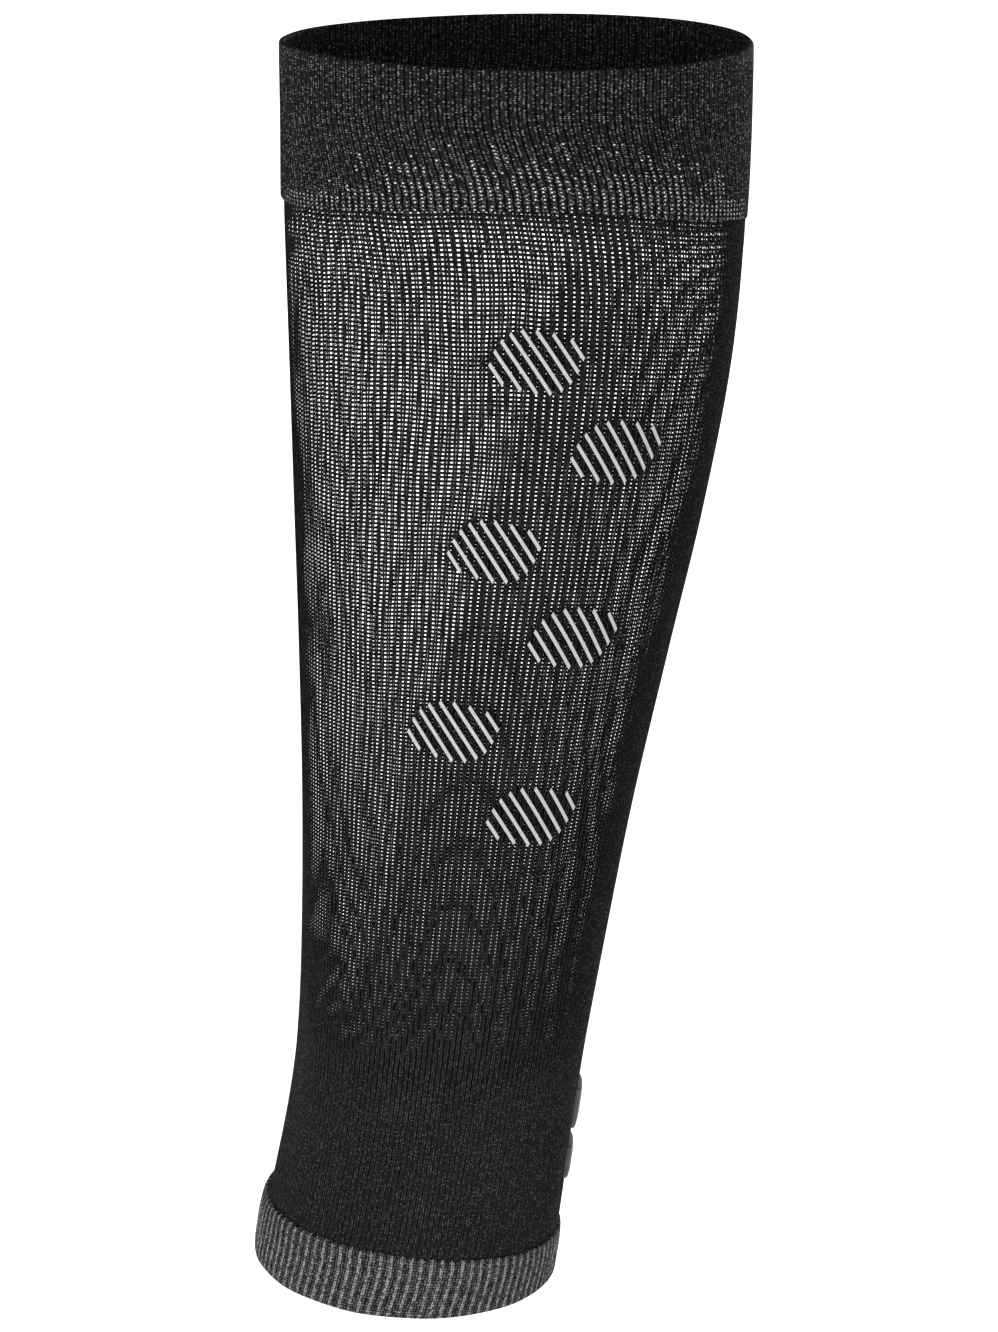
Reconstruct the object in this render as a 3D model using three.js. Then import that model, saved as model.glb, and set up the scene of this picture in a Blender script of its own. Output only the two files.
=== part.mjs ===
// A calf compression sleeve, standing in the shape of the leg that wears it.
// Millimetres, +Z up. +X is the back of the calf, -X the shin and -Y the outer side.
// The origin is the middle of the leg passage, at the level of the hem's bottom ring.
import * as THREE from 'three';

// Overall sizes of the outer skin.
const sleeveLength = 335;
const calfDepth = 119.2;
const calfWidth = 116.8;
const ankleDepth = 79.5;
const ankleWidth = 76.7;
const calfSetback = 30.7;

// Walls, and the gap between pieces that meet.
const legWall = 1;
const bandWall = 1.6;
const bandProud = 0.3;
const hemWall = 1.3;
const hemProud = 0.35;
const gap = 0.3;

// Edge lines: the height half way, the rise from front to back, and the bow at both sides.
const rimLine = { level: sleeveLength - 0.2, lean: 0.9, bow: 0.4 };
const bandTall = 41.4;
const bandLine = { level: rimLine.level - bandTall, lean: -2.6, bow: 7.4 };
const hemTall = 14.65;
const hemFoot = { level: 0, lean: -2.7, bow: -0.2 };
const hemLine = { level: hemFoot.level + hemTall, lean: -4.95, bow: 1.9 };

// The hem's ribs.
const ribCount = 94;
const ribDepth = 0.4;
const ribLean = 1.3;

// The print: leaves made of slanted strokes, up the outer side.
const strokeWidth = 0.85;
const strokeThick = 0.35;
const strokePitch = 2.8;
const strokeLongest = 19;
const strokeSlope = THREE.MathUtils.degToRad(-34);
const strokesPerLeaf = 8;
const leafCount = 6;
const leafSkew = 0.9;
const leafStagger = 12.5;
const printFoot = { x: 22, height: 142 };
const printHead = { x: 48, height: 264 };

// The raised bars on the back of the ankle.
const barWidth = 12;
const barThick = 0.8;
const upperBar = { level: 48, tall: 10 };
const lowerBar = { level: 31.2, tall: 6.5 };

// Facets.
const legColumns = 72;
const legRows = 16;
const bandRows = 4;

// The leg's sections. Columns: `up` is the share of sleeveLength, `swell` the share of the way
// from the ankle's size to the calf's, and `setback` the share of calfSetback.
const sections = [
  { up: -0.02, swell: 0.09, setback: -0.03 },
  { up: 0.0, swell: 0.092, setback: 0.0 },
  { up: 0.055, swell: 0.076, setback: 0.09 },
  { up: 0.066, swell: 0.048, setback: 0.124 },
  { up: 0.084, swell: 0.028, setback: 0.156 },
  { up: 0.137, swell: 0.0, setback: 0.254 },
  { up: 0.19, swell: 0.0, setback: 0.337 },
  { up: 0.268, swell: 0.07, setback: 0.436 },
  { up: 0.396, swell: 0.24, setback: 0.577 },
  { up: 0.521, swell: 0.47, setback: 0.719 },
  { up: 0.643, swell: 0.712, setback: 0.854 },
  { up: 0.762, swell: 0.9, setback: 0.954 },
  { up: 0.879, swell: 0.99, setback: 0.99 },
  { up: 1.0, swell: 1.0, setback: 1.0 },
  { up: 1.02, swell: 1.0, setback: 1.0 },
];

const materials = {
  knit: new THREE.MeshStandardMaterial({ color: 0x25262a, roughness: 0.85, metalness: 0 }),
  band: new THREE.MeshStandardMaterial({ color: 0x1f2024, roughness: 0.85, metalness: 0 }),
  hem: new THREE.MeshStandardMaterial({ color: 0x6a6b70, roughness: 0.9, metalness: 0 }),
  print: new THREE.MeshStandardMaterial({ color: 0xcfd0d2, roughness: 0.5, metalness: 0 }),
};

// A column of the section table at a height, as a smooth curve through its rows.
function along(column, height) {
  const up = THREE.MathUtils.clamp(height / sleeveLength, sections[1].up, sections.at(-2).up);
  let row = 1;
  while (row < sections.length - 3 && up > sections[row + 1].up) row += 1;
  const [before, low, high, after] = sections.slice(row - 1, row + 3);
  const span = high.up - low.up;
  const t = (up - low.up) / span;
  const slopeLow = (high[column] - before[column]) / (high.up - before.up);
  const slopeHigh = (after[column] - low[column]) / (after.up - low.up);
  return (
    (2 * t ** 3 - 3 * t ** 2 + 1) * low[column] +
    (t ** 3 - 2 * t ** 2 + t) * span * slopeLow +
    (3 * t ** 2 - 2 * t ** 3) * high[column] +
    (t ** 3 - t ** 2) * span * slopeHigh
  );
}

// The point at an angle and a height, at a distance outward from the leg's outer skin.
function skin(angle, height, out) {
  const swell = along('swell', height);
  const halfDepth = THREE.MathUtils.lerp(ankleDepth, calfDepth, swell) / 2;
  const halfWidth = THREE.MathUtils.lerp(ankleWidth, calfWidth, swell) / 2;
  const outward = new THREE.Vector2(Math.cos(angle) / halfDepth, Math.sin(angle) / halfWidth);
  outward.normalize();
  return new THREE.Vector3(
    calfSetback * along('setback', height) + halfDepth * Math.cos(angle) + out * outward.x,
    halfWidth * Math.sin(angle) + out * outward.y,
    height,
  );
}

// The height of an edge line at an angle.
function edge(line, angle) {
  return line.level + line.lean * Math.cos(angle) + line.bow * Math.sin(angle) ** 2;
}

// Turns a closed profile and bends it onto the leg, between two edge lines.
// A profile point holds `out`, outward from the skin, and `up`, above the piece's lower edge.
function ring(name, material, { profile, tall, lower, upper, columns, relief, lean }) {
  const datum = calfDepth;
  const turned = [...profile, profile[0]].map(({ out, up }) => new THREE.Vector2(datum + out, up));
  const geometry = new THREE.LatheGeometry(turned, columns);
  geometry.rotateX(Math.PI / 2);
  const position = geometry.attributes.position;
  const point = new THREE.Vector3();
  for (let i = 0; i < position.count; i += 1) {
    point.fromBufferAttribute(position, i);
    const turnedAngle = Math.atan2(point.y, point.x);
    const share = point.z / tall;
    const angle = turnedAngle + (lean * (share - 0.5) * 2) / calfDepth;
    const out = Math.hypot(point.x, point.y) - datum;
    const height = THREE.MathUtils.lerp(edge(lower, angle), edge(upper, angle), share);
    const placed = skin(angle, height, out > 0 ? out + relief(turnedAngle, share) : out);
    position.setXYZ(i, placed.x, placed.y, placed.z);
  }
  geometry.computeVertexNormals();
  const mesh = new THREE.Mesh(geometry, material);
  mesh.name = name;
  return mesh;
}

// Evenly spaced heights from `from` to `to`.
function rows(count, from, to) {
  return Array.from({ length: count + 1 }, (_, i) => THREE.MathUtils.lerp(from, to, i / count));
}

// The outer and inner faces of a plain wall, as one closed profile.
function wallProfile(inner, outer, tall, count) {
  return [
    ...rows(count, 0, tall).map((up) => ({ out: outer, up })),
    ...rows(count, tall, 0).map((up) => ({ out: inner, up })),
  ];
}

// A wall whose upper end is a turned, round rim.
function rimProfile(inner, outer, tall, count) {
  const radius = (outer - inner) / 2;
  const round = [30, 60, 90, 120, 150].map((degrees) => {
    const turn = THREE.MathUtils.degToRad(degrees);
    return { out: inner + radius + radius * Math.cos(turn), up: tall - radius + radius * Math.sin(turn) };
  });
  return [
    ...rows(count, 0, tall - radius).map((up) => ({ out: outer, up })),
    ...round,
    ...rows(count, tall - radius, 0).map((up) => ({ out: inner, up })),
  ];
}

// A ribbed hem with rounded ends, thickest at half height.
function hemProfile(inner, outer, tall) {
  return [
    { out: outer * 0.3, up: 0 },
    { out: outer, up: tall * 0.08 },
    { out: outer * 1.3, up: tall * 0.5 },
    { out: outer, up: tall * 0.94 },
    { out: outer * 0.4, up: tall },
    { out: inner * 0.8, up: tall },
    { out: inner, up: tall * 0.5 },
    { out: inner * 0.8, up: 0 },
  ];
}

const plain = () => 0;
const shifted = (line, by) => ({ ...line, level: line.level + by });

const topBand = ring('top_band', materials.band, {
  profile: rimProfile(bandProud - bandWall, bandProud, bandTall, bandRows),
  tall: bandTall,
  lower: shifted(bandLine, gap / 2),
  upper: rimLine,
  columns: legColumns,
  relief: plain,
  lean: 0,
});

const legTall = bandLine.level - hemLine.level;
const legTube = ring('leg_tube', materials.knit, {
  profile: wallProfile(-legWall, 0, legTall, legRows),
  tall: legTall,
  lower: shifted(hemLine, gap / 2),
  upper: shifted(bandLine, -gap / 2),
  columns: legColumns,
  relief: plain,
  lean: 0,
});

const ankleHem = ring('ankle_hem', materials.hem, {
  profile: hemProfile(hemProud - hemWall, hemProud, hemTall),
  tall: hemTall,
  lower: hemFoot,
  upper: shifted(hemLine, -gap / 2),
  columns: ribCount * 2,
  relief: (angle, share) => {
    const middle = Math.sin(Math.PI * THREE.MathUtils.clamp(share, 0, 1));
    return ribDepth * middle * (0.5 - 0.5 * Math.cos(ribCount * angle));
  },
  lean: ribLean,
});

// A small flat body laid on the skin. `around` and `up` place its middle, in millimetres, and
// its length runs along `slope`, measured from straight up toward the back.
function laid(name, material, { angle, height, width, length, thick, slope, cuts }) {
  const geometry = new THREE.BoxGeometry(width, length, thick, cuts.across, cuts.along, 1);
  geometry.rotateZ(-slope);
  const here = skin(angle, height, 0);
  const radius = Math.hypot(here.x - calfSetback * along('setback', height), here.y);
  const position = geometry.attributes.position;
  for (let i = 0; i < position.count; i += 1) {
    const turn = position.getX(i) / radius;
    const out = gap + thick / 2 + position.getZ(i);
    const placed = skin(angle + turn, height + position.getY(i), out);
    position.setXYZ(i, placed.x, placed.y, placed.z);
  }
  geometry.computeVertexNormals();
  const mesh = new THREE.Mesh(geometry, material);
  mesh.name = name;
  return mesh;
}

// The strokes of one leaf: side by side, longest in the middle, each slid a little down its
// slope from the one before.
function leafStrokes(leaf) {
  const share = leaf / (leafCount - 1);
  const stagger = leaf % 2 === 0 ? leafStagger : -leafStagger;
  const leafX = THREE.MathUtils.lerp(printFoot.x, printHead.x, share) + stagger;
  const leafHeight = THREE.MathUtils.lerp(printFoot.height, printHead.height, share);
  const across = new THREE.Vector2(Math.cos(strokeSlope), -Math.sin(strokeSlope));
  const down = new THREE.Vector2(-Math.sin(strokeSlope), -Math.cos(strokeSlope));
  return Array.from({ length: strokesPerLeaf }, (_, i) => {
    const side = i - (strokesPerLeaf - 1) / 2;
    const fullness = Math.cos((side / strokesPerLeaf) * Math.PI * 0.9);
    const x = leafX + side * (strokePitch * across.x + leafSkew * down.x);
    const height = leafHeight + side * (strokePitch * across.y + leafSkew * down.y);
    const halfDepth = THREE.MathUtils.lerp(ankleDepth, calfDepth, along('swell', height)) / 2;
    const centre = calfSetback * along('setback', height);
    const number = String(leaf * strokesPerLeaf + i + 1).padStart(2, '0');
    return laid(`print_stroke_${number}`, materials.print, {
      angle: -Math.acos((x - centre) / halfDepth),
      height,
      width: strokeWidth,
      length: strokeLongest * fullness,
      thick: strokeThick,
      slope: strokeSlope,
      cuts: { across: 1, along: 3 },
    });
  });
}

const printStrokes = Array.from({ length: leafCount }, (_, leaf) => leafStrokes(leaf)).flat();

const backBars = Object.entries({ back_bar_upper: upperBar, back_bar_lower: lowerBar }).map(
  ([name, { level, tall }]) =>
    laid(name, materials.hem, {
      angle: 0,
      height: level,
      width: barWidth,
      length: tall,
      thick: barThick,
      slope: 0,
      cuts: { across: 8, along: 2 },
    }),
);

const sleeve = new THREE.Group();
sleeve.add(topBand, legTube, ankleHem, ...backBars, ...printStrokes);

export default sleeve;
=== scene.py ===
"""A calf compression sleeve, standing in the shape of the leg that wears it."""

import math

import bmesh
import bpy
import numpy as np
from mathutils import Matrix, Vector


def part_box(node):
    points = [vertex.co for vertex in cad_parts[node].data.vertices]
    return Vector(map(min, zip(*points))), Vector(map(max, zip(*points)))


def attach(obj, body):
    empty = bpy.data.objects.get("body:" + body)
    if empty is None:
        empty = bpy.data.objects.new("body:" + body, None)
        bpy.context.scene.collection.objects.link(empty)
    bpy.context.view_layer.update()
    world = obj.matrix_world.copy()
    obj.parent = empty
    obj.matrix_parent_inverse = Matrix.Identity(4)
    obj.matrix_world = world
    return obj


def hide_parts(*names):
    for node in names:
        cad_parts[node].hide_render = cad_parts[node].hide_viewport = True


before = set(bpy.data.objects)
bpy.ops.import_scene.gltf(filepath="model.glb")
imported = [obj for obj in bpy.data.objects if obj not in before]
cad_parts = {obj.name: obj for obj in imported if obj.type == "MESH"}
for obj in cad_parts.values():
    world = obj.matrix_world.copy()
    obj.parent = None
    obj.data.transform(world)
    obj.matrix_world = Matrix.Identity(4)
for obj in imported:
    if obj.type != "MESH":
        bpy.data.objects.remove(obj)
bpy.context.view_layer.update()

# The camera: a long lens a little above the sleeve, that looks at its outer side.
PHOTO_HEIGHT = 1332
PHOTO_FOCAL = 3791
FILM_MM = 36
camera_data = bpy.data.cameras.new("camera")
camera_data.sensor_width = FILM_MM
camera_data.lens = FILM_MM * PHOTO_FOCAL / PHOTO_HEIGHT
camera_data.clip_end = 20
camera = bpy.data.objects.new("camera", camera_data)
camera.location = (0.0263, -0.965, 0.4539)
camera.rotation_euler = (math.radians(90 - 16.39), 0, 0)
bpy.context.scene.collection.objects.link(camera)
bpy.context.scene.camera = camera

# The floor and the light: white paper all round, lit softly from the front left, with less
# light from above, so that the inside of the sleeve stays dark.
FLOOR_SIZE = 30
FLOOR_GLOW = 1.35
SKY_FOR_CAMERA = 1.45
SKY_FROM_SIDES = 0.22
SKY_FROM_ABOVE = 0.07
AREA_LIGHTS = (
    # name, place in metres, width and height in metres, watts
    ("key", (-1.15, -1.25, 0.22), (1.1, 0.5), 20.0),
    ("fill", (1.3, -1.1, 0.2), (1.1, 0.5), 8.0),
    ("rear", (0.5, 1.5, 0.25), (1.2, 0.5), 12.0),
    ("top", (0.0, -0.5, 1.3), (0.5, 0.5), 6.0),
)
SLEEVE_MIDDLE = Vector((0.015, 0, 0.17))


def add_node(tree, kind, inputs=None, **settings):
    """Adds a node, and fills or links its inputs."""
    node = tree.nodes.new(kind)
    for name, value in settings.items():
        setattr(node, name, value)
    for name, value in (inputs or {}).items():
        if isinstance(value, bpy.types.NodeSocket):
            tree.links.new(value, node.inputs[name])
        else:
            node.inputs[name].default_value = value
    return node


def new_material(name):
    """A new material, its node tree and its Principled BSDF."""
    material = bpy.data.materials.new(name)
    material.use_nodes = True
    return material, material.node_tree, material.node_tree.nodes["Principled BSDF"]


floor_bm = bmesh.new()
bmesh.ops.create_grid(floor_bm, x_segments=1, y_segments=1, size=FLOOR_SIZE / 2)
floor_mesh = bpy.data.meshes.new("floor")
floor_bm.to_mesh(floor_mesh)
floor_bm.free()
floor_mesh.transform(Matrix.Translation((0, 0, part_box("ankle_hem")[0].z)))
floor = bpy.data.objects.new("floor", floor_mesh)
bpy.context.scene.collection.objects.link(floor)
floor_material, floor_tree, floor_shader = new_material("white_paper")
paper_grain = add_node(floor_tree, "ShaderNodeTexNoise", {"Scale": 60.0})
paper_tint = add_node(
    floor_tree,
    "ShaderNodeMapRange",
    {"Value": paper_grain.outputs["Fac"], "To Min": 0.29, "To Max": 0.31},
)
floor_tree.links.new(paper_tint.outputs["Result"], floor_shader.inputs["Base Color"])
floor_shader.inputs["Roughness"].default_value = 0.9
floor_shader.inputs["Emission Color"].default_value = (1, 1, 1, 1)
floor_shader.inputs["Emission Strength"].default_value = FLOOR_GLOW
floor_mesh.materials.append(floor_material)

for name, place, size, watts in AREA_LIGHTS:
    light_data = bpy.data.lights.new(name, "AREA")
    light_data.shape = "RECTANGLE"
    light_data.size, light_data.size_y = size
    light_data.energy = watts
    light = bpy.data.objects.new(name, light_data)
    light.location = place
    light.rotation_euler = (SLEEVE_MIDDLE - Vector(place)).to_track_quat("-Z", "Y").to_euler()
    bpy.context.scene.collection.objects.link(light)

world = bpy.data.worlds.new("studio")
world.use_nodes = True
bpy.context.scene.world = world
sky = world.node_tree
sky.nodes.clear()
seen = add_node(sky, "ShaderNodeLightPath")
toward = add_node(
    sky,
    "ShaderNodeSeparateXYZ",
    {"Vector": add_node(sky, "ShaderNodeTexCoord").outputs["Generated"]},
)
sky_light = add_node(
    sky,
    "ShaderNodeMapRange",
    {
        "Value": toward.outputs["Z"],
        "From Max": 0.5,
        "To Min": SKY_FROM_SIDES,
        "To Max": SKY_FROM_ABOVE,
    },
)
brightness = add_node(
    sky,
    "ShaderNodeMix",
    {
        "Factor": seen.outputs["Is Camera Ray"],
        "A": sky_light.outputs["Result"],
        "B": SKY_FOR_CAMERA,
    },
)
background = add_node(
    sky, "ShaderNodeBackground", {"Color": (1, 1, 1, 1), "Strength": brightness.outputs["Result"]}
)
add_node(sky, "ShaderNodeOutputWorld", {"Surface": background.outputs["Background"]})
bpy.context.scene.view_settings.view_transform = "Standard"

# Top band: a double welt of dense black rib knit, 1.6 mm thick, that grips below the knee.
# Its upper edge is turned and rounded, and its ribs run on from the net's wales.
MM = 0.001
LEG_COLUMNS = 174
SLEEVE_LENGTH = 335
ANKLE_DEPTH = 79.5
ANKLE_WIDTH = 76.7
CALF_SETBACK = 30.7
BAND_PROUD = 0.3
BAND_WALL = 1.6
BAND_TALL = 41.4
BAND_RIB = 0.14
BAND_ROWS = 9
BAND_STEPS_PER_RIB = 6
BAND_LEAN = 6
LEAN_FROM = 0.02
LEAN_TO = 0.72
COURSE_MM = 0.55
MEET_GAP = 0.3
RIM_FADE = 3
PRESS_MM = 0.1
SEAM_ANGLE = math.radians(90)
band_low, band_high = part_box("top_band")
CALF_DEPTH = (band_high.x - band_low.x) / MM - 2 * BAND_PROUD
CALF_WIDTH = (band_high.y - band_low.y) / MM - 2 * BAND_PROUD

# The leg's sections. Columns: height as a share of the sleeve's length, the share of the way
# from the ankle's size to the calf's, and the share of the calf's setback.
SECTIONS = np.array(
    (
        (-0.02, 0.09, -0.03),
        (0.0, 0.092, 0.0),
        (0.055, 0.076, 0.09),
        (0.066, 0.048, 0.124),
        (0.084, 0.028, 0.156),
        (0.137, 0.0, 0.254),
        (0.19, 0.0, 0.337),
        (0.268, 0.07, 0.436),
        (0.396, 0.24, 0.577),
        (0.521, 0.47, 0.719),
        (0.643, 0.712, 0.854),
        (0.762, 0.9, 0.954),
        (0.879, 0.99, 0.99),
        (1.0, 1.0, 1.0),
        (1.02, 1.0, 1.0),
    )
)

# Edge lines: level half way, rise from front to back, and bow at both sides, in mm.
RIM_LINE = (SLEEVE_LENGTH - 0.2, 0.9, 0.4)
BAND_LINE = (RIM_LINE[0] - BAND_TALL, -2.6, 7.4)
HEM_TALL = 14.65
HEM_FOOT = (0, -2.7, -0.2)
HEM_LINE = (HEM_TALL, -4.95, 1.9)


def along(column, height):
    """A column of the section table at these heights, as a smooth curve through its rows."""
    up = np.clip(height / SLEEVE_LENGTH, 0, 1)
    row = np.searchsorted(SECTIONS[:, 0], up, "left") - 1
    row = np.clip(row, 1, len(SECTIONS) - 3)
    before, low, high, after = (SECTIONS[row + i] for i in (-1, 0, 1, 2))
    span = high[..., 0] - low[..., 0]
    t = (up - low[..., 0]) / span
    slope_low = (high[..., column] - before[..., column]) / (high[..., 0] - before[..., 0])
    slope_high = (after[..., column] - low[..., column]) / (after[..., 0] - low[..., 0])
    return (
        (2 * t**3 - 3 * t**2 + 1) * low[..., column]
        + (t**3 - 2 * t**2 + t) * span * slope_low
        + (3 * t**2 - 2 * t**3) * high[..., column]
        + (t**3 - t**2) * span * slope_high
    )


def on_leg(angle, height, out):
    """Points at these angles and heights, this far outward from the leg's outer skin."""
    swell = along(1, height)
    half_depth = (ANKLE_DEPTH + swell * (CALF_DEPTH - ANKLE_DEPTH)) / 2
    half_width = (ANKLE_WIDTH + swell * (CALF_WIDTH - ANKLE_WIDTH)) / 2
    out_x, out_y = np.cos(angle) / half_depth, np.sin(angle) / half_width
    length = np.hypot(out_x, out_y)
    x = CALF_SETBACK * along(2, height) + half_depth * np.cos(angle) + out * out_x / length
    y = half_width * np.sin(angle) + out * out_y / length
    return np.stack((x, y, height), -1) * MM


def edge(line, angle):
    """The height of an edge line at these angles."""
    level, lean, bow = line
    return level + lean * np.cos(angle) + bow * np.sin(angle) ** 2


def between(lower, upper, share, angle):
    """The height at a share of the way from one edge line to another."""
    low, high = edge(lower, angle), edge(upper, angle)
    return low + (high - low) * share


def raised(line, by):
    """An edge line moved up."""
    return (line[0] + by, line[1], line[2])


def swept(profile, step, steps, capped):
    """A closed profile swept straight along, as a mesh."""
    bm = bmesh.new()
    corners = [bm.verts.new(point) for point in profile]
    sides = [bm.edges.new(pair) for pair in zip(corners, corners[1:] + corners[:1])]
    bmesh.ops.spin(
        bm, geom=corners + sides, cent=(0, 0, 0), axis=(0, 0, 1), dvec=step, angle=0, steps=steps
    )
    if capped:
        open_edges = [e for e in bm.edges if e.is_boundary]
        bmesh.ops.holes_fill(bm, edges=open_edges, sides=len(profile))
    mesh = bpy.data.meshes.new("swept")
    bm.to_mesh(mesh)
    bm.free()
    return mesh


def repeated(mesh, offset, count):
    """The mesh repeated in a straight row by an array."""
    row = bpy.data.objects.new("row", mesh)
    bpy.context.scene.collection.objects.link(row)
    array = row.modifiers.new("array", "ARRAY")
    array.use_relative_offset = False
    array.use_constant_offset = True
    array.constant_offset_displace = offset
    array.count = count
    bpy.context.view_layer.update()
    depsgraph = bpy.context.evaluated_depsgraph_get()
    whole = bpy.data.meshes.new_from_object(row.evaluated_get(depsgraph))
    bpy.data.objects.remove(row)
    return whole


def points_of(mesh):
    """The mesh's points as columns."""
    co = np.empty(len(mesh.vertices) * 3)
    mesh.vertices.foreach_get("co", co)
    return co.reshape(-1, 3).T


def laid_out(mesh, points, wale, course):
    """Moves the mesh's points, and lays its UV map out in wales and courses."""
    mesh.vertices.foreach_set("co", points.ravel())
    corner = np.empty(len(mesh.loops), int)
    mesh.loops.foreach_get("vertex_index", corner)
    uv = mesh.uv_layers.new(name="knit")
    uv.data.foreach_set("uv", np.stack((wale[corner], course[corner]), -1).ravel())
    mesh.update()


def closed_piece(name, mesh):
    """Closes the mesh's seam, turns its faces outward and makes it an object."""
    bm = bmesh.new()
    bm.from_mesh(mesh)
    bmesh.ops.remove_doubles(bm, verts=bm.verts[:], dist=1e-6)
    if bm.calc_volume(signed=True) < 0:
        bmesh.ops.reverse_faces(bm, faces=bm.faces[:])
    for face in bm.faces:
        face.smooth = True
    bm.to_mesh(mesh)
    bm.free()
    mesh.name = name
    piece = bpy.data.objects.new(name, mesh)
    bpy.context.scene.collection.objects.link(piece)
    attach(piece, "root")
    return piece


def turn(share):
    """The angle round the leg at a share of the whole way round from the seam."""
    return SEAM_ANGLE + 2 * math.pi * share


def smooth_step(low, high, value):
    """0 below low, 1 above high, and a smooth rise between."""
    t = np.clip((value - low) / (high - low), 0, 1)
    return t * t * (3 - 2 * t)


band_radius = BAND_WALL / 2
band_middle = BAND_PROUD - band_radius
band_face = np.linspace(0, BAND_TALL - band_radius, BAND_ROWS)
band_profile = [(0, up, BAND_PROUD) for up in band_face]
band_profile += [
    (
        0,
        BAND_TALL - band_radius + band_radius * math.sin(math.radians(a)),
        band_middle + band_radius * math.cos(math.radians(a)),
    )
    for a in range(20, 180, 20)
]
band_profile += [(0, up, BAND_PROUD - BAND_WALL) for up in band_face[::-1]]
band_steps = LEG_COLUMNS * BAND_STEPS_PER_RIB
band_mesh = swept(band_profile, (1, 0, 0), band_steps, capped=False)
column, up, out = points_of(band_mesh)
angle = turn(column / band_steps)
share = up / BAND_TALL
rib = np.cos(2 * math.pi * column / BAND_STEPS_PER_RIB)
fine_rib = np.cos(4 * math.pi * column / BAND_STEPS_PER_RIB)
face_side = np.sign(out - band_middle)
rim_fade = np.clip((BAND_TALL - up) / RIM_FADE, 0.25, 1)
band_wave = np.sin(7 * angle + 3 * share) + 0.8 * np.sin(13 * angle - 2 * share)
band_wave = PRESS_MM * band_wave
out = out + band_wave + face_side * BAND_RIB * rim_fade * (0.6 * rib + 0.4 * fine_rib - 0.5)
height = between(raised(BAND_LINE, MEET_GAP / 2), RIM_LINE, share, angle)
rim_rise = 0.3 - 1.1 * np.cos(angle) + 0.5 * np.sin(2 * angle) + 0.4 * np.cos(2 * angle)
height = height + rim_rise * share**2
leant = 1 - smooth_step(LEAN_FROM, LEAN_TO, share)
angle = angle + leant * 2 * BAND_LEAN / CALF_DEPTH
laid_out(
    band_mesh,
    on_leg(angle, height, out),
    column / BAND_STEPS_PER_RIB * 2,
    up / COURSE_MM,
)
top_band = closed_piece("top_band_knit", band_mesh)
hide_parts("top_band")

# The stitches of all the knits, read from a UV map that counts wales across and courses up:
# their relief, the furrows between the pairs of wales, which set the painted shade in them,
# and a painted glint on each stitch.
stitches = bpy.data.node_groups.new("stitches", "ShaderNodeTree")
for socket, kind, direction in (
    ("Wales", "NodeSocketFloat", "INPUT"),
    ("Courses", "NodeSocketFloat", "INPUT"),
    ("Height", "NodeSocketFloat", "OUTPUT"),
    ("Furrow Shade", "NodeSocketFloat", "OUTPUT"),
    ("Glint", "NodeSocketFloat", "OUTPUT"),
):
    stitches.interface.new_socket(socket, in_out=direction, socket_type=kind)
ends = add_node(stitches, "NodeGroupInput")
knit_map = add_node(stitches, "ShaderNodeUVMap", uv_map="knit")
axes = add_node(stitches, "ShaderNodeSeparateXYZ", {"Vector": knit_map.outputs["UV"]})


def maths(tree, operation, first, second=0.0, third=0.0):
    """A Math node's result."""
    node = tree.nodes.new("ShaderNodeMath")
    node.operation = operation
    for socket, value in zip(node.inputs, (first, second, third)):
        if isinstance(value, bpy.types.NodeSocket):
            tree.links.new(value, socket)
        else:
            socket.default_value = value
    return node.outputs[0]


def speck(tree, across, up, share, size, roam, contrast):
    """A soft oval spot, somewhere in a share of the cells of a grid, of random strength."""
    cell = add_node(
        tree,
        "ShaderNodeCombineXYZ",
        {"X": maths(tree, "FLOOR", across), "Y": maths(tree, "FLOOR", up)},
    )
    chance = add_node(tree, "ShaderNodeTexWhiteNoise", {"Vector": cell.outputs["Vector"]})
    place = add_node(tree, "ShaderNodeSeparateColor", {"Color": chance.outputs["Color"]})
    picked = maths(tree, "LESS_THAN", chance.outputs["Value"], share)
    off = []
    for position, shift, reach in (
        (across, place.outputs["Red"], size[0]),
        (up, place.outputs["Green"], size[1]),
    ):
        centre = maths(tree, "MULTIPLY_ADD", shift, roam, 0.5 - roam / 2)
        away = maths(tree, "SUBTRACT", maths(tree, "FRACT", position), centre)
        away = maths(tree, "DIVIDE", away, reach)
        off.append(maths(tree, "MULTIPLY", away, away))
    spot = maths(tree, "SUBTRACT", 1.0, maths(tree, "ADD", *off))
    spot = maths(tree, "MAXIMUM", spot, 0.0)
    strength = maths(tree, "POWER", place.outputs["Blue"], contrast)
    return maths(tree, "MULTIPLY", maths(tree, "MULTIPLY", spot, picked), strength)


wale = maths(stitches, "MULTIPLY", axes.outputs["X"], ends.outputs["Wales"])
course = maths(stitches, "MULTIPLY", axes.outputs["Y"], ends.outputs["Courses"])
leg_of_v = maths(stitches, "PINGPONG", wale, 0.5)
arm = maths(stitches, "MULTIPLY_ADD", leg_of_v, 1.4, course)
arm_wave = maths(stitches, "SINE", maths(stitches, "MULTIPLY", arm, 2 * math.pi))
valley = maths(stitches, "POWER", maths(stitches, "MULTIPLY", leg_of_v, 2.0), 0.6)
pair_valley = maths(stitches, "POWER", maths(stitches, "PINGPONG", wale, 1.0), 0.7)
# The furrow also sets the painted shade, darkest between the pairs of wales.
furrow = maths(stitches, "MULTIPLY_ADD", valley, 0.3, maths(stitches, "MULTIPLY", pair_valley, 0.7))
stitch_height = maths(stitches, "MULTIPLY_ADD", furrow, 3.0, arm_wave)
# A painted glint: a light spot painted on each stitch, standing in for the yarn's sparkle.
glint = speck(stitches, wale, course, 1.0, (0.3, 0.38), 0.3, 3.0)
add_node(
    stitches,
    "NodeGroupOutput",
    {"Height": stitch_height, "Furrow Shade": furrow, "Glint": glint},
)


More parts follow.
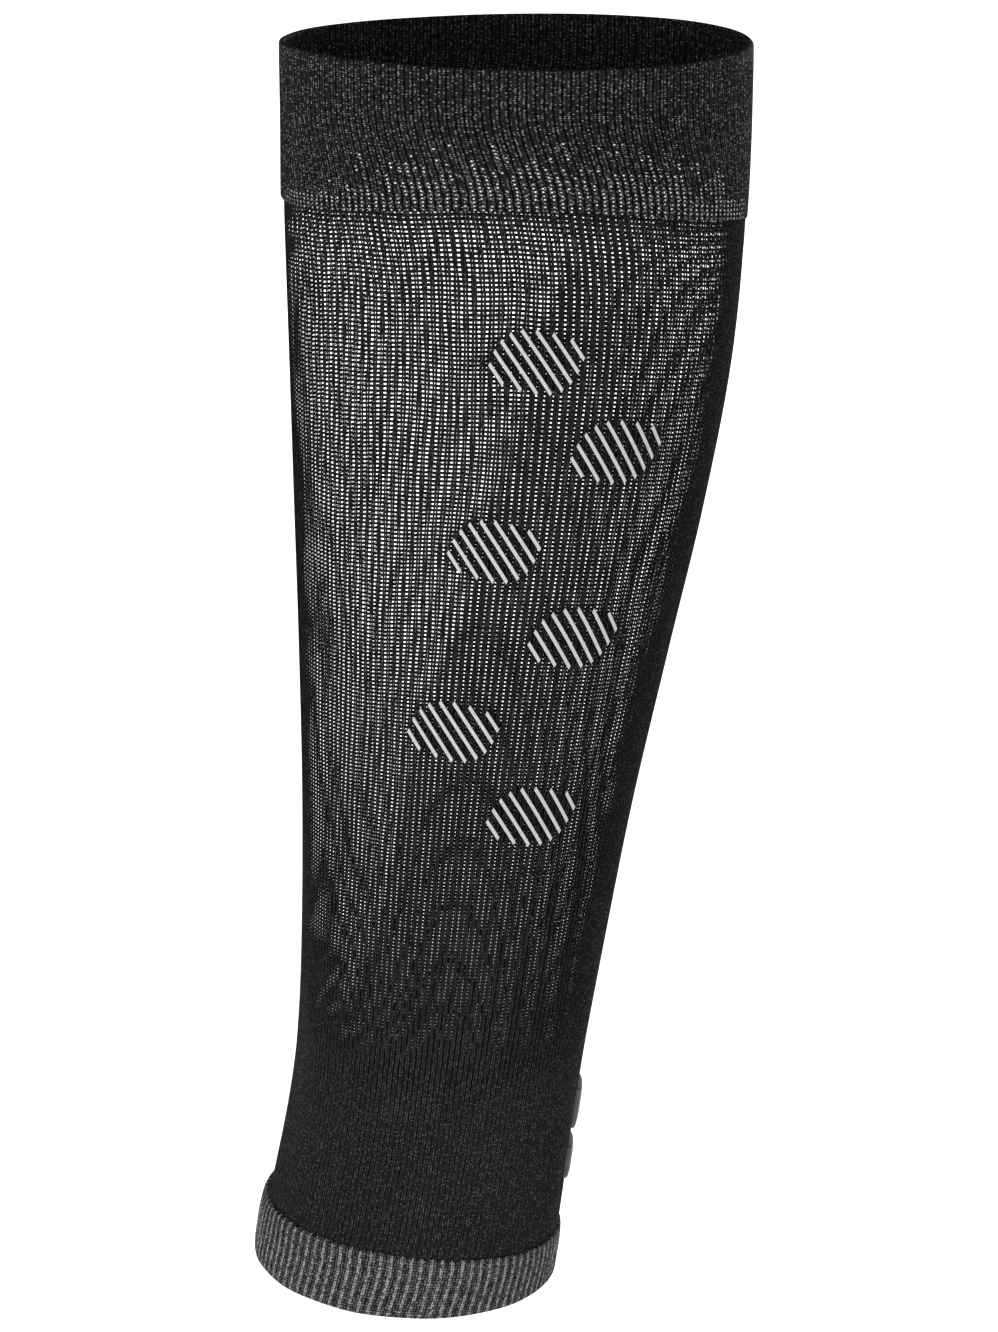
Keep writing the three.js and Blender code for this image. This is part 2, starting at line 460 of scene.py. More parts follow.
def knit_material(name, dark, light, glint_colour, stretch, bump_mm, roughness, mottled=1.0):
    """A knitted yarn: painted shade in the furrows, mottled, with a painted glint on each stitch.
    """
    material, tree, shader = new_material(name)
    place = add_node(tree, "ShaderNodeTexCoord")
    mottle = add_node(
        tree,
        "ShaderNodeTexNoise",
        {"Vector": place.outputs["Object"], "Scale": 2400.0, "Detail": 2.0},
    )
    cloudy = add_node(
        tree,
        "ShaderNodeTexNoise",
        {"Vector": place.outputs["Object"], "Scale": 55.0, "Detail": 2.0},
    )
    yarn = add_node(tree, "ShaderNodeGroup", node_tree=stitches)
    yarn.inputs["Wales"].default_value = stretch[0]
    yarn.inputs["Courses"].default_value = stretch[1]
    mottling = maths(
        tree, "MULTIPLY_ADD", mottle.outputs["Fac"], mottled, 0.5 * (1 - mottled)
    )
    mottle_and_furrow_shade = maths(tree, "MULTIPLY_ADD", cloudy.outputs["Fac"], 0.4, mottling)
    # Painted shade: the mottled colour darkens in the furrows.
    mottle_and_furrow_shade = maths(tree, "MULTIPLY", mottle_and_furrow_shade, yarn.outputs["Furrow Shade"])
    ramp = add_node(
        tree, "ShaderNodeMapRange", {"Value": mottle_and_furrow_shade, "From Min": 0.2, "From Max": 0.85}
    )
    tint = add_node(
        tree, "ShaderNodeMix", {"Factor": ramp.outputs["Result"]}, data_type="RGBA"
    )
    tint.inputs["A"].default_value = (*dark, 1)
    tint.inputs["B"].default_value = (*light, 1)
    # Painted glint: a light colour mixed in on each stitch.
    lit = add_node(
        tree, "ShaderNodeMix", {"Factor": yarn.outputs["Glint"]}, data_type="RGBA"
    )
    tree.links.new(tint.outputs["Result"], lit.inputs["A"])
    lit.inputs["B"].default_value = (*glint_colour, 1)
    tree.links.new(lit.outputs["Result"], shader.inputs["Base Color"])
    bump = add_node(
        tree,
        "ShaderNodeBump",
        {"Height": yarn.outputs["Height"], "Distance": bump_mm * MM, "Strength": 0.8},
    )
    tree.links.new(bump.outputs["Normal"], shader.inputs["Normal"])
    shader.inputs["Roughness"].default_value = roughness
    shader.inputs["Specular IOR Level"].default_value = 0.03
    return material, tree, shader, lit


# The band's yarn, with painted shade in its furrows and a painted glint on its stitches.
band_material, band_tree, band_shader, band_tint = knit_material(
    "band_yarn",
    dark=(0.002, 0.002, 0.0022),
    light=(0.022, 0.022, 0.0233),
    glint_colour=(0.36, 0.36, 0.37),
    stretch=(1.0, 1.0),
    bump_mm=0.2,
    roughness=0.7,
)
# Pinholes through the welt, one to a pair of wales, in chains that gather toward its
# lower edge. They are not cut: the light that shows through them is painted into the colour
# as pale spots.
PINHOLE_COURSES = 2
PINHOLE_SHARE = (
    # courses of pinholes above the lower edge, how likely a hole is
    (0, 1.0),
    (2.5, 0.95),
    (5, 0.5),
    (10, 0.42),
    (17, 0.3),
    (24, 0.0),
)
PINHOLE_REACH = PINHOLE_SHARE[-1][0]
band_map = add_node(band_tree, "ShaderNodeUVMap", uv_map="knit")
band_axes = add_node(band_tree, "ShaderNodeSeparateXYZ", {"Vector": band_map.outputs["UV"]})
band_pair = maths(band_tree, "MULTIPLY", band_axes.outputs["X"], 0.5)
band_course = maths(band_tree, "DIVIDE", band_axes.outputs["Y"], PINHOLE_COURSES)
chain_map = add_node(
    band_tree,
    "ShaderNodeCombineXYZ",
    {
        "X": maths(band_tree, "MULTIPLY", maths(band_tree, "FLOOR", band_pair), 1.37),
        "Y": maths(band_tree, "MULTIPLY", band_course, 0.2),
    },
)
chains = add_node(
    band_tree, "ShaderNodeTexNoise", {"Vector": chain_map.outputs["Vector"], "Scale": 1.0}
)


def grey_ramp(tree, place, stops):
    """A curve of greys through these stops, read at a place along it."""
    ramp = add_node(tree, "ShaderNodeValToRGB", {"Fac": place})
    elements = ramp.color_ramp.elements
    while len(elements) < len(stops):
        elements.new(0.5)
    for element, (position, grey) in zip(elements, stops):
        element.position = position
        element.color = (grey, grey, grey, 1)
    return ramp.outputs["Color"]


likely = grey_ramp(
    band_tree,
    maths(band_tree, "DIVIDE", band_course, PINHOLE_REACH),
    [(courses_up / PINHOLE_REACH, likelihood) for courses_up, likelihood in PINHOLE_SHARE],
)
from_outer = maths(
    band_tree, "ABSOLUTE", maths(band_tree, "SUBTRACT", band_axes.outputs["X"], 1.03 * LEG_COLUMNS)
)
beside = add_node(
    band_tree,
    "ShaderNodeMapRange",
    {"Value": from_outer, "From Min": 30.0, "From Max": 75.0, "To Min": 0.82, "To Max": 1.15},
)
in_chain = maths(
    band_tree,
    "SUBTRACT",
    maths(band_tree, "ADD", chains.outputs["Fac"], likely),
    beside.outputs["Result"],
)
pinhole_share = maths(band_tree, "MULTIPLY", in_chain, 8.0)
pinhole_light = speck(band_tree, band_pair, band_course, pinhole_share, (0.15, 0.27), 0.12, 0.8)
pinhole_lit = add_node(
    band_tree,
    "ShaderNodeMix",
    {"Factor": maths(band_tree, "MULTIPLY", pinhole_light, 1.6)},
    data_type="RGBA",
    clamp_factor=True,
)
band_tree.links.new(band_tint.outputs["Result"], pinhole_lit.inputs["A"])
# Painted light: the pale colour of the light that shows through a pinhole.
pinhole_lit.inputs["B"].default_value = (0.9, 0.9, 0.9, 1)
band_tree.links.new(pinhole_lit.outputs["Result"], band_shader.inputs["Base Color"])
top_band.data.materials.append(band_material)

# The net's wales: 348 stitch columns in pairs, knitted of fine black yarn from the hem to
# the band. They stand apart over the calf and close up toward the ankle, and are finer and
# evenly spaced on the inner side.
WALES = 2 * LEG_COLUMNS
OUTER_WALE_STEPS = 138
INNER_WALE_STEPS = 90
WALE_DEPTH = 0.42
WALE_STITCH = 0.52
NET_MIDDLE = -0.5
HAND_STEP = 0.06
CLOSED_LAP = 0.15
BRICK_TALL = 13
BRICK_SHARE = 0.32
HALF = 0.25
# The gaps between the pairs of wales and within a pair, as shares of a pair where the net is
# fully open: over the calf, and what the shin, the inner side and the ridges of the leg add.
# On the inner side the ridges take gap away instead.
WIDE_GAP = (0.26, 0.05, 0.16, 0.05)
THIN_GAP = (-0.03, 0.09, 0.45, 0.04)
RIDGE_TURN = 3.2
NET_FOOT = raised(HEM_LINE, -1)
NET_HEAD = raised(BAND_LINE, 1)
wale_rng = np.random.default_rng(11)
wale_phase = wale_rng.uniform(0, 2 * math.pi, (3, WALES))


def shin_zone(angle, height):
    """1 on the open, wavy knit over the shin, and 0 on the finer knit over the calf."""
    degrees = np.degrees(angle + math.pi) % 360 - 180
    border = -82 - (272 - height) * 0.225
    outer = 1 - smooth_step(border - 2, border + 2, degrees)
    inner = smooth_step(100, 106, degrees)
    return np.maximum(outer, inner)


def inner_side(angle):
    """0 on the outer side of the leg, rising to 1 on the inner side, where the yarn is finer."""
    return smooth_step(-0.3, 0.9, np.sin(angle))


def ridges(angle):
    """1 along the shin and the back of the leg, 0 on the flanks between them."""
    return smooth_step(0.3, 0.85, np.abs(np.cos(angle)))


PRINT_FOOT = (22, 142)
PRINT_HEAD = (48, 264)
LEAVES = 6
LEAF_STAGGER = 12.5
LEAF_SKEW = 0.9
STROKES_PER_LEAF = 8
STROKE_PITCH = 2.8
STROKE_LONGEST = 19
STROKE_SLOPE = math.radians(-34)
ACROSS = (math.cos(STROKE_SLOPE), -math.sin(STROKE_SLOPE))
DOWN = (-math.sin(STROKE_SLOPE), -math.cos(STROKE_SLOPE))


def leaf_middle(leaf):
    """The x and height of a leaf's middle."""
    share = leaf / (LEAVES - 1)
    side = LEAF_STAGGER if leaf % 2 == 0 else -LEAF_STAGGER
    x = PRINT_FOOT[0] + share * (PRINT_HEAD[0] - PRINT_FOOT[0]) + side
    return x, PRINT_FOOT[1] + share * (PRINT_HEAD[1] - PRINT_FOOT[1])


def under_print(angle, height):
    """1 where the print's leaves lie, whose film closes the knit behind them."""
    swell = along(1, height)
    half_depth = (ANKLE_DEPTH + swell * (CALF_DEPTH - ANKLE_DEPTH)) / 2
    x = CALF_SETBACK * along(2, height) + half_depth * np.cos(angle)
    covered = np.zeros_like(height)
    for leaf in range(LEAVES):
        leaf_x, leaf_height = leaf_middle(leaf)
        beside = (x - leaf_x) * ACROSS[0] + (height - leaf_height) * ACROSS[1]
        below = (x - leaf_x) * DOWN[0] + (height - leaf_height) * DOWN[1]
        below = np.abs(below - LEAF_SKEW / STROKE_PITCH * beside)
        beside = np.abs(beside) / STROKE_PITCH / STROKES_PER_LEAF
        reach = STROKE_LONGEST / 2 * np.cos(np.minimum(beside, 0.55) * math.pi * 0.9)
        inside = 1 - smooth_step(reach - 0.5, reach + 1, below)
        covered = np.maximum(covered, inside * (1 - smooth_step(0.47, 0.55, beside)))
    return covered * (np.sin(angle) < 0)


# How open the net is at each height, on the outer side and on the inner side. It closes
# higher up along the shin.
SHIN_SOONER = 25
OUTER_OPEN = np.array(
    ((60, 0), (70, 0.1), (80, 0.24), (96, 0.34), (112, 0.46), (128, 0.55), (161, 0.78), (200, 1))
)
INNER_OPEN = np.array(((36, 0), (46, 0.3), (60, 0.6), (80, 0.75), (110, 0.9), (150, 1)))


def openness(angle, height):
    """How open the net is, from 0, closed, to 1."""
    inner = smooth_step(0.1, 0.9, np.sin(angle))
    below_band = edge(BAND_LINE, angle) - height
    covered = under_print(angle, height)
    ripe = np.maximum(smooth_step(0, 45, below_band), 0.8 * (1 - shin_zone(angle, height)))
    height = height - SHIN_SOONER * smooth_step(0.85, 1, -np.cos(angle))
    outer_fading = np.interp(height, OUTER_OPEN[:, 0], OUTER_OPEN[:, 1])
    inner_fading = np.interp(height, INNER_OPEN[:, 0], INNER_OPEN[:, 1])
    fading = (1 - inner) * outer_fading + inner * inner_fading
    starting = 0.6 + 0.27 * smooth_step(0, 4, below_band) + 0.13 * ripe
    return fading * starting * (1 - 0.75 * covered)


def drift(pair, height, angle):
    """How far the wales wander sideways, in pairs of wales."""
    shin = shin_zone(angle, height)
    slow = np.sin(height / 15.7 + 0.13 * pair + 0.6) + 0.7 * np.sin(height / 9.1 + 0.31 * pair)
    quick = np.sin(height / 5.3 - 0.47 * pair + 1.7)
    entering = np.clip(1 - (edge(BAND_LINE, angle) - height) / 24, 0, 1) ** 2
    return (0.03 + 0.09 * shin) * slow + (0.01 + 0.03 * shin) * quick - 1.4 * entering


def rise(pair, height, angle):
    """How far the courses wander up and down, in mm."""
    shin = shin_zone(angle, height)
    wave = np.sin(0.21 * pair + height / 21) + 0.6 * np.sin(0.53 * pair - height / 13 + 1)
    return (0.05 + 0.22 * shin) * wave


def wale_mesh(numbers, steps):
    """The wales with these numbers, counted round the leg, as one mesh."""
    profile = ((HALF, 0, 0), (0, 0, HALF), (-HALF, 0, 0), (0, 0, -HALF))
    mesh = repeated(swept(profile, (0, 1, 0), steps, capped=True), (1, 0, 0), len(numbers))
    across, step, depth = points_of(mesh)
    column = np.rint(across).astype(int)
    side = (across - column) / HALF
    number = numbers[column]
    pair = number // 2
    hand = np.where(number % 2 == 0, -1, 1)
    angle = turn((pair + 0.5) / LEG_COLUMNS)
    height = between(NET_FOOT, NET_HEAD, step / steps, angle)
    shin = shin_zone(angle, height)
    inner = inner_side(angle)
    ridge = ridges(angle) * (1 - RIDGE_TURN * inner)
    opened = openness(angle, height)
    lap = CLOSED_LAP * (1 - opened) ** 6
    brick = 2 * math.pi * height / BRICK_TALL + math.pi * pair
    brick = np.sin(brick + np.sin(0.37 * pair + height / 30))
    brick = 1 + BRICK_SHARE * shin * (1 - inner) * brick
    parts = (1, shin, inner, ridge)
    widening = opened**0.6
    wide_gap = sum(gap * part for gap, part in zip(WIDE_GAP, parts)) * widening * brick - lap
    thin_gap = sum(gap * part for gap, part in zip(THIN_GAP, parts)) * widening - lap
    jitter = np.sin(height / 3.1 + wale_phase[0][number])
    jitter = jitter + np.sin(height / 7.3 + wale_phase[1][number])
    thick = (1 - wide_gap - thin_gap) / 2
    place = hand * (thin_gap + thick) / 2 + side * thick / 2 * (1 + 0.05 * jitter * opened)
    place += drift(pair, height, angle) + jitter * opened * (0.012 + 0.008 * shin + 0.02 * inner)
    angle = turn((pair + 0.5 + place) / LEG_COLUMNS)
    height = between(NET_FOOT, NET_HEAD, step / steps, angle)
    wale_depth = WALE_DEPTH * (1 - 0.55 * np.maximum(shin, inner))
    out = NET_MIDDLE + depth / HALF * wale_depth / 2 + HAND_STEP * hand * opened
    laid_out(mesh, on_leg(angle, height, out), number + 0.5 + side * 0.5, height / WALE_STITCH)
    return mesh


wale_numbers = np.arange(WALES)
on_outer_side = np.sin(turn((wale_numbers // 2 + 0.5) / LEG_COLUMNS)) < 0
# The net's yarn, with painted shade in its furrows and a painted glint on its stitches.
net_material, net_tree, net_shader, net_tint = knit_material(
    "net_yarn",
    dark=(0.003, 0.003, 0.0033),
    light=(0.021, 0.021, 0.0225),
    glint_colour=(0.1, 0.1, 0.104),
    stretch=(1.0, 1.0),
    bump_mm=0.1,
    roughness=0.75,
    mottled=0.4,
)
# Painted light: the net's colour is made up to 1.22 times lighter toward the ankle, where the net
# closes up, than higher up, where the open net lies in its own shade.
net_place = add_node(net_tree, "ShaderNodeTexCoord")
net_up = add_node(net_tree, "ShaderNodeSeparateXYZ", {"Vector": net_place.outputs["Object"]})
lighter_toward_ankle = add_node(
    net_tree,
    "ShaderNodeMapRange",
    {
        "Value": net_up.outputs["Z"],
        "From Min": 0.06,
        "From Max": 0.13,
        "To Min": 1.22,
        "To Max": 1.0,
    },
)
net_light = add_node(
    net_tree,
    "ShaderNodeVectorMath",
    {"Vector": net_tint.outputs["Result"], "Scale": lighter_toward_ankle.outputs["Result"]},
    operation="SCALE",
)
net_tree.links.new(net_light.outputs["Vector"], net_shader.inputs["Base Color"])
for name, numbers, steps in (
    ("net_wales_outer", wale_numbers[on_outer_side], OUTER_WALE_STEPS),
    ("net_wales_inner", wale_numbers[~on_outer_side], INNER_WALE_STEPS),
):
    net_wales = closed_piece(name, wale_mesh(numbers, steps))
    net_wales.data.materials.append(net_material)
    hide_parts("leg_tube")

# The net's courses: yarn laid round the leg through every stitch row, about a millimetre
# apart at the calf and closer together toward the ankle.
COURSES = 252
COURSE_STEPS = 120
COURSES_FROM = 38
COURSE_DEPTH = 0.34
COURSE_CROWDING = 0.88
THINNER_AT_SHIN = 0.4
DEEPER_INSIDE = 0.4
# The gap between the courses, as a share of their pitch: on the outer side over the calf,
# with what the shin, the ridges and the ankle add, and on the inner side, with what the
# ridges take away.
OUTER_COURSE_GAP = (0.31, 0.06, 0.06, 0.08)
INNER_COURSE_GAP = (0.88, -0.13)
course_profile = ((0, HALF, -HALF), (0, 0, HALF), (0, -HALF, -HALF))
one_course = swept(course_profile, (1, 0, 0), COURSE_STEPS, capped=False)
courses_mesh = repeated(one_course, (0, 1, 0), COURSES)
step, across, depth = points_of(courses_mesh)
number = np.rint(across)
side = (across - number) / HALF
angle = turn(step / COURSE_STEPS)
pair = step / COURSE_STEPS * LEG_COLUMNS
share = (number + 0.5) / COURSES
share = COURSE_CROWDING * share + (1 - COURSE_CROWDING) * share**2
middle = between((COURSES_FROM, 0, 0), NET_HEAD, share, angle)
pitch = (edge(NET_HEAD, angle) - COURSES_FROM) / COURSES
pitch = pitch * (COURSE_CROWDING + 2 * (1 - COURSE_CROWDING) * share)
shin = shin_zone(angle, middle)
opened = openness(angle, middle)
inner = inner_side(angle)
lower_down = 1 - smooth_step(100, 180, middle)
ridge = ridges(angle)
parts = (1, shin, ridge, lower_down)
outer_gap = sum(gap * part for gap, part in zip(OUTER_COURSE_GAP, parts)) * opened**0.9
inner_gap = INNER_COURSE_GAP[0] + INNER_COURSE_GAP[1] * ridge
inner_gap = inner_gap * np.minimum(1, 3 * opened) ** 0.5
course_gap = outer_gap * (1 - inner) + inner_gap * inner
tall = pitch * (1 - course_gap)
course_rng = np.random.default_rng(3)
course_phase = course_rng.uniform(0, 2 * math.pi, (3, COURSES))[:, number.astype(int)]
ripple = np.sin(course_phase[0] + 3 * angle) + np.sin(course_phase[1] - 7 * angle)
waver = 0.03 + 0.13 * smooth_step(0.6, 0.95, np.cos(angle))
waver = waver * np.sin(course_phase[2]) + 0.05 * inner * ripple
middle = middle + waver * pitch + rise(np.minimum(pair, LEG_COLUMNS - pair), middle, angle)
height = middle + side * tall / 2
height = np.minimum(height, edge(NET_HEAD, angle))
course_depth = COURSE_DEPTH * (1 - THINNER_AT_SHIN * shin * (1 - inner) + DEEPER_INSIDE * inner)
out = NET_MIDDLE + depth / HALF * course_depth / 2
laid_out(courses_mesh, on_leg(angle, height, out), 2 * pair, number + 0.5 * side)
net_courses = closed_piece("net_courses", courses_mesh)
net_courses.data.materials.append(net_material)
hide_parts("leg_tube")

# Ankle hem: a soft roll of grey mottled rib knit that grips above the ankle. Each of its 94
# ribs leans, with two finer ones in the furrow beside it.
RIBS = 94
RIB_STEPS = 12
RIB_DEPTH = 0.4
RIB_LEAN = 1.3
HEM_PROUD = 0.35
HEM_WALL = 1.3
HEM_LIP = 0.85
HEM_COURSES = 15
LEAN_STOPS = 0.72
FRONT_LEAN = 1.6
hem_inside = HEM_PROUD - HEM_WALL
hem_profile = [
    (0, HEM_TALL * up_share, HEM_PROUD * out_share)
    for up_share, out_share in (
        (0.0, 0.0),
        (0.02, 0.7),
        (0.08, 1.1),
        (0.2, 1.3),
        (0.35, 1.4),
        (0.5, 1.4),
        (0.65, 1.35),
        (0.8, 1.25),
        (0.92, 1.1),
        (0.98, 0.8),
        (1.0, 0.1),
    )
]
hem_profile += [
    (0, HEM_TALL * up_share, hem_inside)
    for up_share in (0.99, 0.75, 0.5, 0.25, 0.01)
]
hem_steps = RIBS * RIB_STEPS
hem_mesh = swept(hem_profile, (1, 0, 0), hem_steps, capped=False)
column, up, out = points_of(hem_mesh)
share = up / HEM_TALL
rib_place = column / RIB_STEPS
rib_rng = np.random.default_rng(5)
rib_strength = rib_rng.uniform(0.7, 1.15, RIBS + 1)
rib_strength[RIBS] = rib_strength[0]
strength = np.interp(rib_place, np.arange(RIBS + 1), rib_strength)
main_rib = 0.5 + 0.5 * np.cos(2 * math.pi * rib_place)
thin_rib = 0.5 + 0.5 * np.cos(6 * math.pi * rib_place)
relief = strength * (0.6 * main_rib**1.5 + 0.4 * thin_rib)
full = np.sin(math.pi * np.clip(share, 0, 1)) ** 0.5
front = 0.5 - 0.5 * np.cos(turn(column / hem_steps))
gather = (0.25 + 0.75 * front) * 0.22
swing = np.sin(turn(column / hem_steps) * 11 + 2.2 * share) * gather
turned = turn(column / hem_steps)
lean = 2 * RIB_LEAN * (np.minimum(share, LEAN_STOPS) / LEAN_STOPS - 0.5) + 2.0 * swing * share
lean = lean - FRONT_LEAN * front**2 * smooth_step(0.45, 1, share)
angle = turned + 2 * lean / CALF_DEPTH
height = between(HEM_FOOT, raised(HEM_LINE, HEM_LIP), share, angle)
height = height + np.where(share < 0.3, swing * 0.6, 0)
outer_face = out > hem_inside * 0.6
out = out + np.where(outer_face, RIB_DEPTH * full * relief, 0) + swing * 0.5 * full
laid_out(hem_mesh, on_leg(angle, height, out), rib_place, share * HEM_COURSES)
hem = closed_piece("ankle_hem_knit", hem_mesh)
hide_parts("ankle_hem")

# The hem's yarns: light-grey ribs on black, brightest on the main rib of each three. The ridges
# are also painted lighter and the furrows darker, as painted shade for the ribs' relief.
RIB_LIGHT = (
    # place across the rib, how light
    (0.0, 1.0),
    (0.12, 0.9),
    (0.18, 0.15),
    (0.28, 0.02),
    (0.34, 0.5),
    (0.4, 0.03),
    (0.58, 0.03),
    (0.65, 0.55),
    (0.71, 0.03),
    (0.82, 0.15),
    (0.88, 0.9),
    (1.0, 1.0),
)
# The hem's yarn, with painted shade in its furrows and a painted glint on its stitches.
hem_material, hem_tree, hem_shader, hem_tint = knit_material(
    "hem_yarn",
    dark=(0.002, 0.002, 0.0021),
    light=(0.016, 0.016, 0.0165),
    glint_colour=(0.35, 0.35, 0.36),
    stretch=(6.0, 1.5),
    bump_mm=0.15,
    roughness=0.8,
)
hem_map = add_node(hem_tree, "ShaderNodeUVMap", uv_map="knit")
hem_axes = add_node(hem_tree, "ShaderNodeSeparateXYZ", {"Vector": hem_map.outputs["UV"]})


def streaks(scale_across, scale_up, detail):
    """Noise drawn out along the hem's ribs."""
    vector = add_node(
        hem_tree,
        "ShaderNodeCombineXYZ",
        {
            "X": maths(hem_tree, "MULTIPLY", hem_axes.outputs["X"], scale_across),
            "Y": maths(hem_tree, "MULTIPLY", hem_axes.outputs["Y"], scale_up),
        },
    )
    noise = add_node(
        hem_tree,
        "ShaderNodeTexNoise",
        {"Vector": vector.outputs["Vector"], "Scale": 1.0, "Detail": detail},
    )
    return noise.outputs["Fac"]


wander = maths(hem_tree, "MULTIPLY_ADD", streaks(2.0, 0.7, 2.0), 0.24, -0.12)
rib_across = maths(hem_tree, "FRACT", maths(hem_tree, "ADD", hem_axes.outputs["X"], wander))
# Partly grey yarn on the ribs, and partly painted light: lighter ridges, painted shade in the
# furrows.
rib_lightness = grey_ramp(hem_tree, rib_across, RIB_LIGHT)
hem_stitch = speck(
    hem_tree,
    maths(hem_tree, "MULTIPLY", hem_axes.outputs["X"], 5.0),
    maths(hem_tree, "DIVIDE", hem_axes.outputs["Y"], 0.66),
    1.0,
    (0.62, 0.55),
    0.3,
    0.9,
)
fuzz = maths(hem_tree, "MULTIPLY_ADD", streaks(4.0, 1.1, 1.0), 1.8, -0.6)
fuzz = maths(hem_tree, "MULTIPLY_ADD", hem_stitch, 1.7, maths(hem_tree, "MULTIPLY", fuzz, 0.5))
lightness = maths(hem_tree, "MULTIPLY", rib_lightness, fuzz)
hem_edge = maths(hem_tree, "MULTIPLY_ADD", streaks(6.0, 0.1, 1.0), 1.6, 14.1)
below_edge = maths(hem_tree, "LESS_THAN", hem_axes.outputs["Y"], hem_edge)
lightness = maths(hem_tree, "MULTIPLY", lightness, below_edge)
hem_mix = add_node(
    hem_tree, "ShaderNodeMix", {"Factor": lightness}, data_type="RGBA", clamp_factor=True
)
hem_tree.links.new(hem_tint.outputs["Result"], hem_mix.inputs["A"])
hem_mix.inputs["B"].default_value = (0.35, 0.35, 0.36, 1)
hem_tree.links.new(hem_mix.outputs["Result"], hem_shader.inputs["Base Color"])
hem.data.materials.append(hem_material)

# Print: 48 slanted strokes of light-grey film, pressed onto the outer side in six leaves.
# Each is 0.85 mm wide and 0.35 mm thick, with its ends cut along the wales.
STROKE_WIDTH = 0.85
STROKE_THICK = 0.35
STROKE_CUTS = 12
STROKE_EDGE = 0.1
END_CUT = 0.6
FILM_GRAIN = 0.05
print_bm = bmesh.new()
stroke_places = []
for leaf in range(LEAVES):
    leaf_x, leaf_height = leaf_middle(leaf)
    for stroke in range(STROKES_PER_LEAF):
        beside = stroke - (STROKES_PER_LEAF - 1) / 2
        fullness = math.cos(beside / STROKES_PER_LEAF * math.pi * 0.9)
        x = leaf_x + beside * (STROKE_PITCH * ACROSS[0] + LEAF_SKEW * DOWN[0])
        z = leaf_height + beside * (STROKE_PITCH * ACROSS[1] + LEAF_SKEW * DOWN[1])
        stroke_places.append((x, z, STROKE_LONGEST * fullness))
print_points = []
for x, z, length in stroke_places:
    made = bmesh.ops.create_grid(print_bm, x_segments=3, y_segments=STROKE_CUTS, size=0.5)["verts"]
    middle_x = CALF_SETBACK * float(along(2, np.array(z)))
    swell = float(along(1, np.array(z)))
    half_depth = (ANKLE_DEPTH + swell * (CALF_DEPTH - ANKLE_DEPTH)) / 2
    start = -math.acos((x - middle_x) / half_depth)
    here = on_leg(np.array(start), np.array(z), np.array(0.0)) / MM
    radius = math.hypot(here[0] - middle_x, here[1])
    for vert in made:
        wide = vert.co.x * STROKE_WIDTH
        below = -vert.co.y * length - END_CUT * wide
        aside = wide * ACROSS[0] + below * DOWN[0]
        print_points.append((start + aside / radius, z + wide * ACROSS[1] + below * DOWN[1]))
        vert.co = (0, 0, 0)
print_mesh = bpy.data.meshes.new("print")
print_bm.to_mesh(print_mesh)
print_bm.free()
stroke_angle, stroke_height = np.array(print_points).T
print_lift = MEET_GAP + STROKE_THICK / 2
laid_out(
    print_mesh,
    on_leg(stroke_angle, stroke_height, np.full_like(stroke_angle, print_lift)),
    stroke_angle * 55,
    stroke_height,
)
outer_print = bpy.data.objects.new("outer_print", print_mesh)
bpy.context.scene.collection.objects.link(outer_print)
print_mesh.name = "outer_print"
thicken = outer_print.modifiers.new("thickness", "SOLIDIFY")
thicken.thickness = STROKE_THICK * MM
thicken.offset = 0
soften = outer_print.modifiers.new("soft_edges", "BEVEL")
soften.width = STROKE_EDGE * MM
soften.segments = 2
soften.limit_method = "ANGLE"
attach(outer_print, "root")
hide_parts(*[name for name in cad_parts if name.startswith("print_stroke_")])


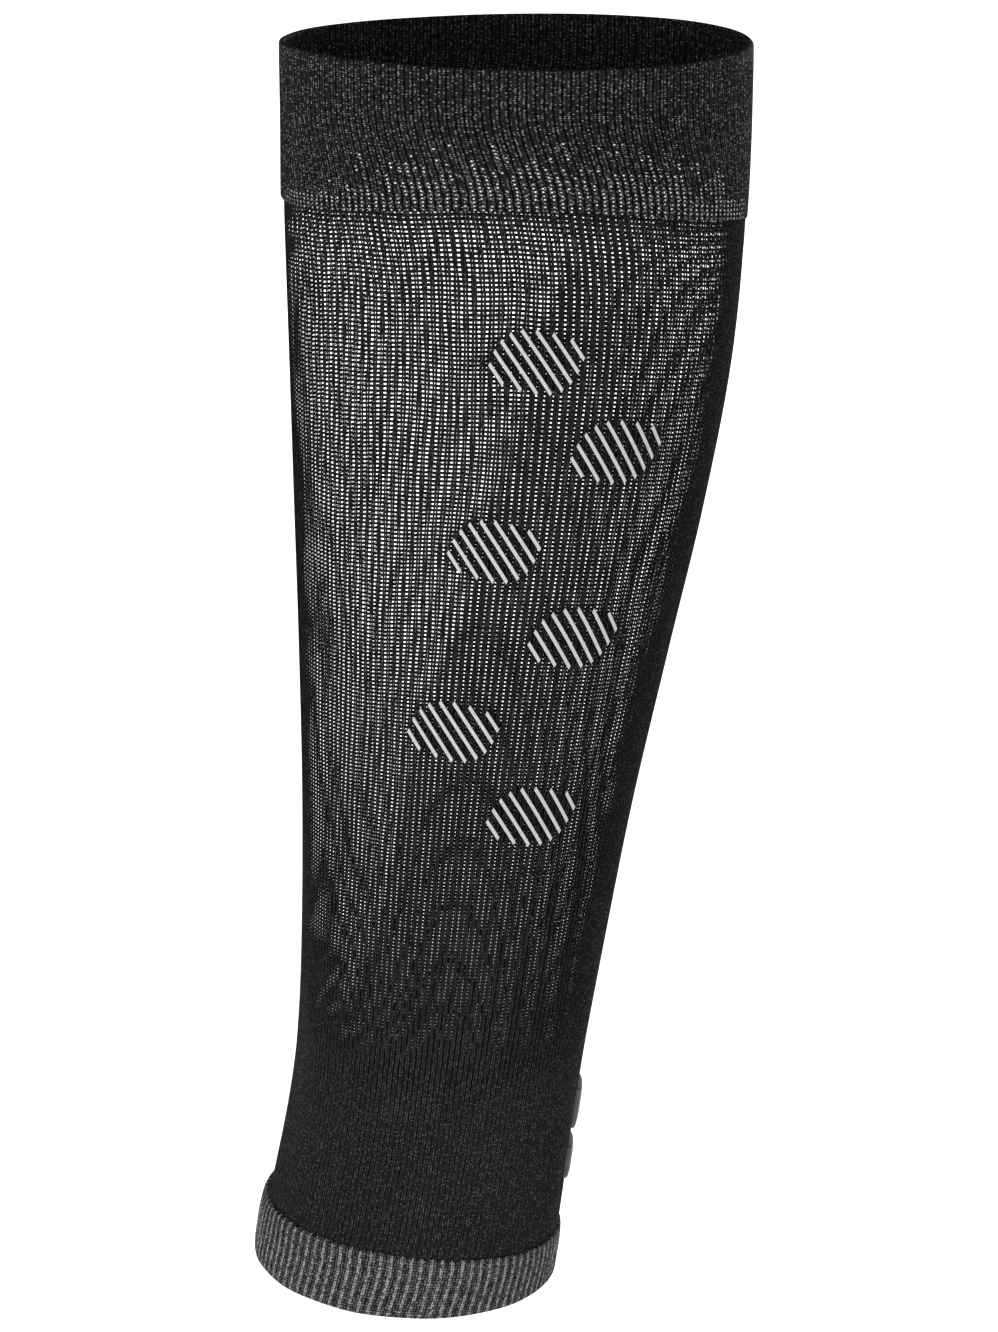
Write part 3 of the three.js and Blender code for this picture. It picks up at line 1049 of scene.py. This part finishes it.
def film_material(name, dark, light, grain_scale, grain_strength, roughness):
    """A matt printed film with a fine grain in its colour and in its surface."""
    material, tree, shader = new_material(name)
    place = add_node(tree, "ShaderNodeTexCoord")
    grain = add_node(
        tree,
        "ShaderNodeTexNoise",
        {"Vector": place.outputs["Object"], "Scale": grain_scale, "Detail": 2.0},
    )
    tint = add_node(tree, "ShaderNodeMix", {"Factor": grain.outputs["Fac"]}, data_type="RGBA")
    tint.inputs["A"].default_value = (*dark, 1)
    tint.inputs["B"].default_value = (*light, 1)
    tree.links.new(tint.outputs["Result"], shader.inputs["Base Color"])
    bump = add_node(
        tree,
        "ShaderNodeBump",
        {"Height": grain.outputs["Fac"], "Distance": FILM_GRAIN * MM, "Strength": grain_strength},
    )
    tree.links.new(bump.outputs["Normal"], shader.inputs["Normal"])
    shader.inputs["Roughness"].default_value = roughness
    return material


print_material = film_material(
    "grey_film",
    dark=(0.3, 0.3, 0.31),
    light=(0.46, 0.46, 0.47),
    grain_scale=1400.0,
    grain_strength=0.6,
    roughness=0.5,
)
print_mesh.materials.append(print_material)

# The two raised bars on the back of the ankle: dark grey rubbery print, pressed into the knit
# and 1.1 mm proud of it in the middle, with rounded faces.
BAR_WIDTH = 12
BAR_ROOT = -0.45
BAR_FACE = 1.1
BAR_CUTS = 11
BAR_ROUNDING = 0.3
BARS = (
    # the CAD bar it stands for, middle height, how tall
    ("back_bar_upper", 45.8, 11.5),
    ("back_bar_lower", 29.9, 9.2),
)
bar_material = film_material(
    "raised_grey",
    dark=(0.05, 0.05, 0.052),
    light=(0.13, 0.13, 0.135),
    grain_scale=1100.0,
    grain_strength=0.5,
    roughness=0.55,
)
for cad_bar, level, tall in BARS:
    bar_bm = bmesh.new()
    bmesh.ops.create_cube(bar_bm, size=1)
    bmesh.ops.subdivide_edges(bar_bm, edges=bar_bm.edges[:], cuts=BAR_CUTS, use_grid_fill=True)
    bar_mesh = bpy.data.meshes.new(cad_bar + "_print")
    bar_bm.to_mesh(bar_mesh)
    bar_bm.free()
    aside, rise_share, thick_share = points_of(bar_mesh)
    bar_angle = 2 * aside * BAR_WIDTH / ANKLE_DEPTH
    crown = 1 - BAR_ROUNDING * ((2 * np.abs(aside)) ** 4 + (2 * np.abs(rise_share)) ** 4)
    bar_out = BAR_ROOT + (thick_share + 0.5) * (BAR_FACE * crown - BAR_ROOT)
    laid_out(
        bar_mesh,
        on_leg(bar_angle, level + rise_share * tall, bar_out),
        aside * BAR_WIDTH,
        rise_share * tall,
    )
    bar_piece = closed_piece(cad_bar + "_print", bar_mesh)
    bar_piece.data.materials.append(bar_material)
    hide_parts(cad_bar)
